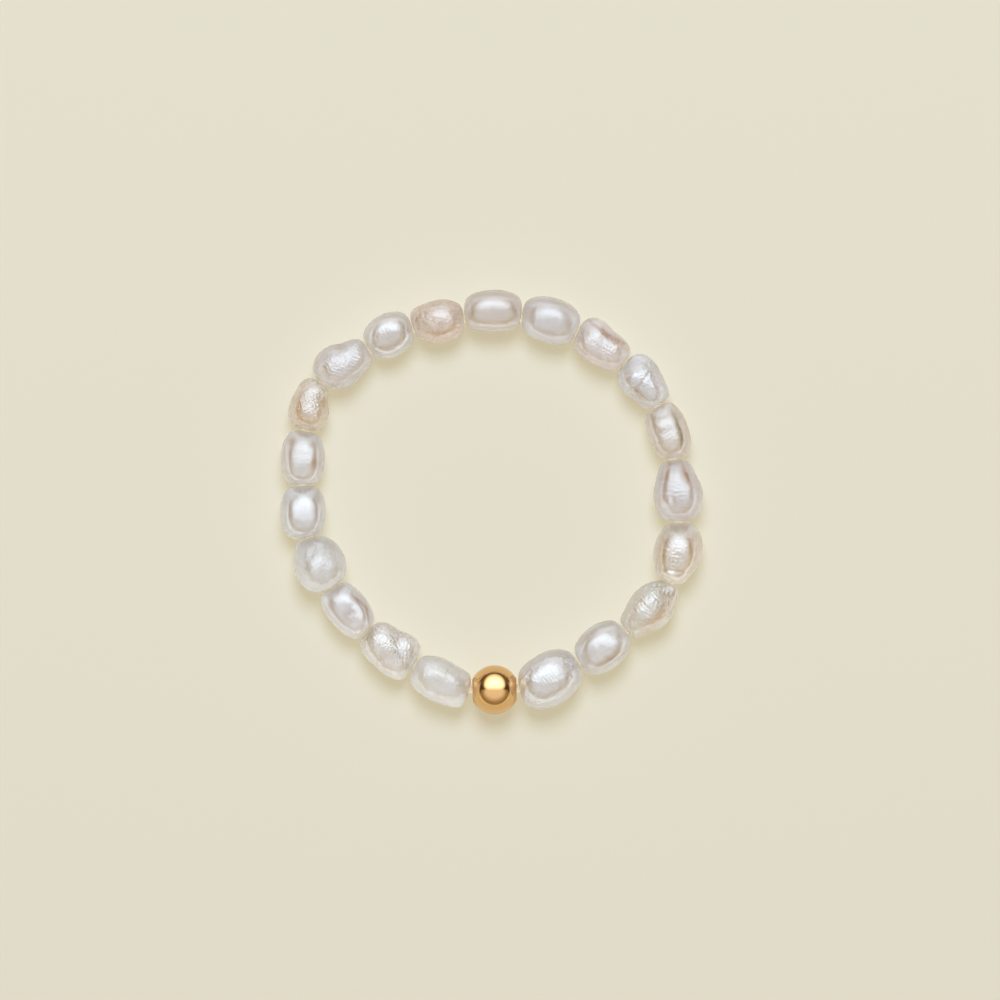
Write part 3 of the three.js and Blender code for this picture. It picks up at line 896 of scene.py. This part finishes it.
# freshwater nacre, polished by tumbling: a warm milky body under layers of clear platelets, which give a cool
# satin gloss that is stronger than on plain shell or glaze. Its finest lines are far too fine to show, so the
# lines and pits here are as coarse as they need to be
nacre = {
    "ior": 2.8,  # above the 1.6 of one layer, because many layers mirror more together
    "gloss": "#D9EBFC",  # the colour that they mirror
    "depth": 2.0 * mm,  # how far light spreads inside
    "scatter": (1.0, 0.9, 0.8),
    "endGlow": 0.12,  # a glow painted on the ends, standing in for light that the thin ends pass on from bead to bead, and lightening the shaded gaps
    "endGlowColour": "#F3EADB",
    "endGlowReach": 0.25,
    # a darker warm band painted as shade round the shoulder, where the gloss mirrors the dark ceiling
    "shoulderSlope": 33,  # degrees from level
    "shoulderWidth": 13,  # degrees too
    "shoulderPaintedShade": 0.15,
    "cloudsPerMm": 1.1,  # cloudy patches about a millimetre across
    "cloudRange": (0.4, 0.7),
    "cloudStain": 0.25,
    "linesPerMm": 16.0,  # growth lines 0.06 mm apart
    "lineStretch": 0.25,
    "lineTurn": 0.3,
    "lineHeight": 0.01 * mm,
    "pitsPerMm": 6.0,  # pits 0.15 mm across
    "pitRange": (0.3, 0.7),
    "pitHeight": 0.06 * mm,
    "bumpShare": 0.5,
    "roughnessAdded": (0.02, 0.08),  # by the bottoms and the tops of the pits
    "apart": 7.3,  # moves the pattern on from pearl to pearl, so that no two are alike
}
# body and warm are the colours of the milky body and of its stains and painted shade, lines is how strong the
# fine relief is, and tip and roll lean the back along and across the thread, in degrees
looks = readTable(
    "pearl slot body warm roughness lines gloss tip roll",
    [
        (1, "nacre_white", "#C2B8AD", "#B19973", 0.1, 0.8, 1.2, -4, -3),
        (2, "nacre_white", "#C3BAAF", "#A38A64", 0.17, 0.35, 1.1, -2, -3),
        (3, "nacre_cream", "#C2B9A8", "#B18D5C", 0.1, 1.1, 1.0, -8, 0),
        (4, "nacre_cream", "#C6B7A4", "#B3976A", 0.16, 0.45, 1.1, -7, -1),
        (5, "nacre_silver", "#BEB4AB", "#A5835F", 0.16, 0.25, 0.85, -4, 0),
        (6, "nacre_silver", "#C5B4A4", "#98855C", 0.13, 0.5, 0.95, -7, 1),
        (7, "nacre_silver", "#C0B7B0", "#A38D6C", 0.1, 1.1, 1.1, -6, 4),
        (8, "nacre_silver", "#C4B7AC", "#A8855F", 0.09, 1.2, 0.95, -3, 7),
        (9, "nacre_silver", "#BFB5AD", "#A99575", 0.17, 0.4, 0.9, -1, 0),
        (10, "nacre_white", "#BEAE9E", "#A99575", 0.17, 0.5, 1.0, 0, -3),
        (11, "nacre_peach", "#C5B09C", "#AD8F61", 0.09, 1.3, 0.95, 1, 1),
        (12, "nacre_white", "#C0B5A9", "#A99575", 0.13, 0.4, 1.1, 1.5, -5),
        (13, "nacre_silver", "#BEB2A8", "#A99575", 0.09, 1.2, 1.0, 2, 2),
        (14, "nacre_peach", "#C2B39E", "#AD854C", 0.09, 1.2, 0.9, 5, 2),
        (15, "nacre_white", "#C0B6AB", "#A98F6C", 0.18, 0.2, 1.0, 7, 0),
        (16, "nacre_white", "#C2B8AF", "#9F8D69", 0.18, 0.35, 1.25, 8, 0),
        (17, "nacre_silver", "#C2BBB2", "#A9997A", 0.18, 1.0, 0.85, 9, -3),
        (18, "nacre_silver", "#C8C0B8", "#9F836A", 0.13, 0.4, 1.0, 5, 0),
        (19, "nacre_cream", "#CBC0B3", "#A99369", 0.1, 1.2, 1.1, 2, -3),
        (20, "nacre_white", "#C8C0B7", "#B5A884", 0.14, 0.8, 0.85, -3, -3),
    ],
)


def makeNacre(look, number):
    material = newMaterial(f"tumbled freshwater nacre {number:02d}")
    tree = material.node_tree
    place = ownPlace(tree, number * nacre["apart"])
    # where the nacre is thicker it is warmer, in cloudy patches and in each pearl's own stains; the same warm
    # tint is painted as shade round the shoulder, beside the highlights and in creases, and taken away under
    # some highlights as a slight painted highlight
    cloud = addNode(
        tree, "ShaderNodeTexNoise", inputs={"Vector": place, "Scale": nacre["cloudsPerMm"], "Detail": 2.0}
    )
    patch = addNode(
        tree,
        "ShaderNodeMapRange",
        inputs={
            "Value": cloud.outputs[0],
            **span("From", nacre["cloudRange"]),
            "To Max": nacre["cloudStain"],
        },
    )
    stain = addNode(tree, "ShaderNodeAttribute", {"attribute_name": "stain"})
    warmth = addNode(
        tree,
        "ShaderNodeMath",
        {"operation": "ADD", "use_clamp": True},
        {0: patch.outputs[0], 1: stain.outputs["Fac"]},
    )
    tint = addNode(
        tree,
        "ShaderNodeMix",
        {"data_type": "RGBA"},
        {"Factor": warmth.outputs[0], 6: toLinear(look["body"]), 7: toLinear(look["warm"])},
    )
    # growth lines run round the pearl, and the skin between them is finely pitted
    stretched = addNode(
        tree,
        "ShaderNodeMapping",
        inputs={
            "Vector": place,
            "Scale": (1.0, nacre["lineStretch"], nacre["lineStretch"]),
            "Rotation": (0, 0, nacre["lineTurn"]),
        },
    )
    lines = addNode(
        tree,
        "ShaderNodeTexNoise",
        inputs={
            "Vector": stretched.outputs[0],
            "Scale": nacre["linesPerMm"],
            "Detail": 3.0,
            "Distortion": 0.6,
        },
    )
    pits = addNode(
        tree, "ShaderNodeTexNoise", inputs={"Vector": place, "Scale": nacre["pitsPerMm"], "Detail": 2.5}
    )
    linesBump = addNode(
        tree,
        "ShaderNodeBump",
        inputs={
            "Height": lines.outputs[0],
            "Strength": nacre["bumpShare"] * look["lines"],
            "Distance": nacre["lineHeight"],
        },
    )
    pitsBump = addNode(
        tree,
        "ShaderNodeBump",
        inputs={
            "Height": pits.outputs[0],
            "Strength": nacre["bumpShare"] * look["lines"],
            "Distance": nacre["pitHeight"],
            "Normal": linesBump.outputs[0],
        },
    )
    roughness = [look["roughness"] + added for added in nacre["roughnessAdded"]]
    gloss = addNode(
        tree,
        "ShaderNodeMapRange",
        inputs={
            "Value": pits.outputs[0],
            **span("From", nacre["pitRange"]),
            **span("To", roughness),
        },
    )
    # a glow painted on the ends, near a neighbour, that lightens the shaded gaps between beads
    ends = addNode(tree, "ShaderNodeAttribute", {"attribute_name": "ends"})
    endGlow = addNode(
        tree, "ShaderNodeMath", {"operation": "MULTIPLY"}, {0: ends.outputs["Fac"], 1: nacre["endGlow"]}
    )
    shader = addNode(
        tree,
        "ShaderNodeBsdfPrincipled",
        {"subsurface_method": "RANDOM_WALK"},
        {
            "Base Color": tint.outputs[2],
            "Roughness": gloss.outputs[0],
            "IOR": nacre["ior"],
            "Specular IOR Level": 0.5 * look["gloss"],
            "Specular Tint": toLinear(nacre["gloss"]),
            "Subsurface Weight": 1.0,
            "Subsurface Radius": nacre["scatter"],
            "Subsurface Scale": nacre["depth"],
            "Emission Color": toLinear(nacre["endGlowColour"]),
            "Emission Strength": endGlow.outputs[0],
            "Normal": pitsBump.outputs[0],
        },
    )
    addNode(tree, "ShaderNodeOutputMaterial", inputs={"Surface": shader.outputs[0]})
    return material


for number, look in enumerate(looks, 1):
    bead = beads[number]
    grid, stain, ends = pearlGrid(number, np.random.default_rng(number))
    mesh = ringMesh(bead["name"], grid * mm)
    for name, values in (("stain", stain), ("ends", ends)):
        attribute = mesh.attributes.new(name, "FLOAT", "POINT")
        attribute.data.foreach_set("value", values.ravel().astype(np.float32))
    addPiece(bead["name"], mesh, makeNacre(look, number), bead["place"])
    points = np.array([bead["place"] @ Vector(p) for p in (grid.reshape(-1, 3) * mm).tolist()])
    low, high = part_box(bead["name"])
    off = [*(points.min(0) - np.array(low)), *(points.max(0) - np.array(high))]
    print(bead["name"], "box differs by", [round(float(v) / mm, 3) for v in off], "mm")


def goldGrid():
    radius, hole, lip = gold["radius"], gold["holeRadius"], gold["lipRadius"]
    inner, steps = radius - gold["wall"], gold["stepsAlong"]
    lipTilt, holeTilt = acos(lip / radius), acos(hole / inner)
    lipOut = radius * sin(lipTilt)
    profile = [(radius * sin(t), radius * cos(t)) for t in np.linspace(-lipTilt, lipTilt, steps)]
    # the lip turns over into the hole on a small round
    fillet, middle, rise = (lip - hole) / 2, (lip + hole) / 2, gold["lipRise"]
    turns = np.linspace(0, pi, gold["lipSteps"])[1:-1]
    profile += [(lipOut + fillet * rise * sin(t), middle + fillet * cos(t)) for t in turns]
    profile += [(lipOut - gold["holeInset"], hole)]
    profile += [(inner * sin(t), inner * cos(t)) for t in np.linspace(holeTilt, -holeTilt, steps // 2)]
    profile += [(gold["holeInset"] - lipOut, hole)]
    profile += [(-lipOut - fillet * rise * sin(t), middle - fillet * cos(t)) for t in turns]
    along, out = np.array(profile).T
    around = np.arange(gold["sidesAround"])[:, None] / gold["sidesAround"] * tau
    return np.stack(np.broadcast_arrays(along, out * np.cos(around), out * np.sin(around)), -1)


# gold-filled brass, pressed and tumbled to a mirror: sharp reflections, with the finest handling scratches
gilt = {
    "tones": ("#EDC38E", "#E8BC83"),
    "scuffsPerMm": 9.0,  # scuffs 0.1 mm across
    "scuffRange": (0.35, 0.7),
    "roughness": (0.09, 0.14),
    "dentsPerMm": 2.2,  # shallow dents half a millimetre across
    "dentHeight": 0.004 * mm,
    "dentShare": 0.3,
}


def makeGilt():
    material = newMaterial("tumbled gold-filled brass")
    tree = material.node_tree
    place = ownPlace(tree)
    scuffs = addNode(
        tree, "ShaderNodeTexNoise", inputs={"Vector": place, "Scale": gilt["scuffsPerMm"], "Detail": 4.0}
    )
    wear = addNode(
        tree,
        "ShaderNodeMapRange",
        inputs={
            "Value": scuffs.outputs[0],
            **span("From", gilt["scuffRange"]),
            **span("To", gilt["roughness"]),
        },
    )
    bright, deep = (toLinear(tone) for tone in gilt["tones"])
    tone = addNode(
        tree, "ShaderNodeMix", {"data_type": "RGBA"}, {"Factor": scuffs.outputs[0], 6: bright, 7: deep}
    )
    dents = addNode(
        tree, "ShaderNodeTexNoise", inputs={"Vector": place, "Scale": gilt["dentsPerMm"], "Detail": 1.0}
    )
    bump = addNode(
        tree,
        "ShaderNodeBump",
        inputs={"Height": dents.outputs[0], "Strength": gilt["dentShare"], "Distance": gilt["dentHeight"]},
    )
    shader = addNode(
        tree,
        "ShaderNodeBsdfPrincipled",
        inputs={
            "Base Color": tone.outputs[2],
            "Metallic": 1.0,
            "Roughness": wear.outputs[0],
            "Normal": bump.outputs[0],
        },
    )
    addNode(tree, "ShaderNodeOutputMaterial", inputs={"Surface": shader.outputs[0]})
    return material


giltMaterial = makeGilt()
goldPlace = Matrix.Translation(Vector(goldMiddle) * mm) @ Matrix.Rotation(beads[0]["heading"], 4, "Z")
goldMesh = ringMesh("gold_bead", goldGrid() * mm)
goldPiece = addPiece("gold_bead", goldMesh, giltMaterial, goldPlace)
aimLights("pearls only", stripLamps, [floor, goldPiece], "EXCLUDE")
print("gold bead made")


# a closed smooth line through the points, with one more point halfway between each two
def smoothLoop(points):
    path = []
    for i in range(len(points)):
        p0, p1, p2, p3 = (points[(i + k) % len(points)] for k in (-1, 0, 1, 2))
        second, third = 2 * p0 - 5 * p1 + 4 * p2 - p3, 3 * p1 - p0 - 3 * p2 + p3
        path += [p1 + ((p2 - p0) * t + second * t**2 + third * t**3) / 2 for t in (0, 0.5)]
    return np.array(path)


def threadGrid():
    points = []
    for bead in beads:
        ahead = np.array([cos(bead["heading"]), sin(bead["heading"])])
        straight = bead["pitch"] / 2 - thread["bend"]
        steps = np.linspace(-straight, straight, thread["pointsPerBead"])
        points += [bead["middle"] + ahead * step for step in steps]
    path = smoothLoop(points)
    tangent = np.roll(path, -1, 0) - np.roll(path, 1, 0)
    tangent /= np.linalg.norm(tangent, axis=-1, keepdims=True)
    out = np.stack([tangent[:, 1], -tangent[:, 0]], -1)
    # the two ends meet in a plain round knot inside the gold bead
    fromKnot = np.linalg.norm(path - beads[0]["middle"], axis=-1) / thread["knotRadius"]
    knot = thread["knotRadius"] * np.sqrt(np.clip(1 - fromKnot**2, 0, 1))
    radius = np.maximum(thread["radius"], knot)[:, None]
    around = np.arange(thread["sidesAround"])[None] / thread["sidesAround"] * tau
    grid = np.zeros((len(path), thread["sidesAround"], 3))
    grid[..., :2] = path[:, None] + out[:, None] * (radius * np.cos(around))[..., None]
    grid[..., 2] = thread["height"] + radius * np.sin(around)
    return grid


# clear elastic of drawn polyurethane: slightly milky, with a soft shine and faint unevenness
elastic = {
    "tones": ("#EDE4CC", "#E2D7BB"),
    "hazePerMm": 3.0,  # milky patches a third of a millimetre long
    "hazeRange": (0.3, 0.7),
    "roughness": (0.2, 0.32),
    "ior": 1.5,
    "milk": 0.8,
    "scatter": (1.0, 0.95, 0.85),
    "depth": 0.3 * mm,
    "glow": 0.35,  # a painted glow, standing in for daylight that the clear thread carries into the shaded gaps
    "glowColour": "#EADFC4",
    "unevenHeight": 0.01 * mm,
    "unevenShare": 0.2,
}


def makeElastic():
    material = newMaterial("drawn clear polyurethane")
    tree = material.node_tree
    place = ownPlace(tree)
    haze = addNode(
        tree, "ShaderNodeTexNoise", inputs={"Vector": place, "Scale": elastic["hazePerMm"], "Detail": 2.0}
    )
    clear, milky = (toLinear(tone) for tone in elastic["tones"])
    tone = addNode(
        tree, "ShaderNodeMix", {"data_type": "RGBA"}, {"Factor": haze.outputs[0], 6: clear, 7: milky}
    )
    shine = addNode(
        tree,
        "ShaderNodeMapRange",
        inputs={
            "Value": haze.outputs[0],
            **span("From", elastic["hazeRange"]),
            **span("To", elastic["roughness"]),
        },
    )
    bump = addNode(
        tree,
        "ShaderNodeBump",
        inputs={
            "Height": haze.outputs[0],
            "Strength": elastic["unevenShare"],
            "Distance": elastic["unevenHeight"],
        },
    )
    shader = addNode(
        tree,
        "ShaderNodeBsdfPrincipled",
        inputs={
            "Base Color": tone.outputs[2],
            "Roughness": shine.outputs[0],
            "IOR": elastic["ior"],
            "Subsurface Weight": elastic["milk"],
            "Subsurface Radius": elastic["scatter"],
            "Subsurface Scale": elastic["depth"],
            # the glow is painted light that brightens the thread in the shaded gaps
            "Emission Color": toLinear(elastic["glowColour"]),
            "Emission Strength": elastic["glow"],
            "Normal": bump.outputs[0],
        },
    )
    addNode(tree, "ShaderNodeOutputMaterial", inputs={"Surface": shader.outputs[0]})
    return material


threadMesh = ringMesh("elastic_thread", threadGrid() * mm)
addPiece("elastic_thread", threadMesh, makeElastic())
print("elastic thread made")

bpy.context.view_layer.update()
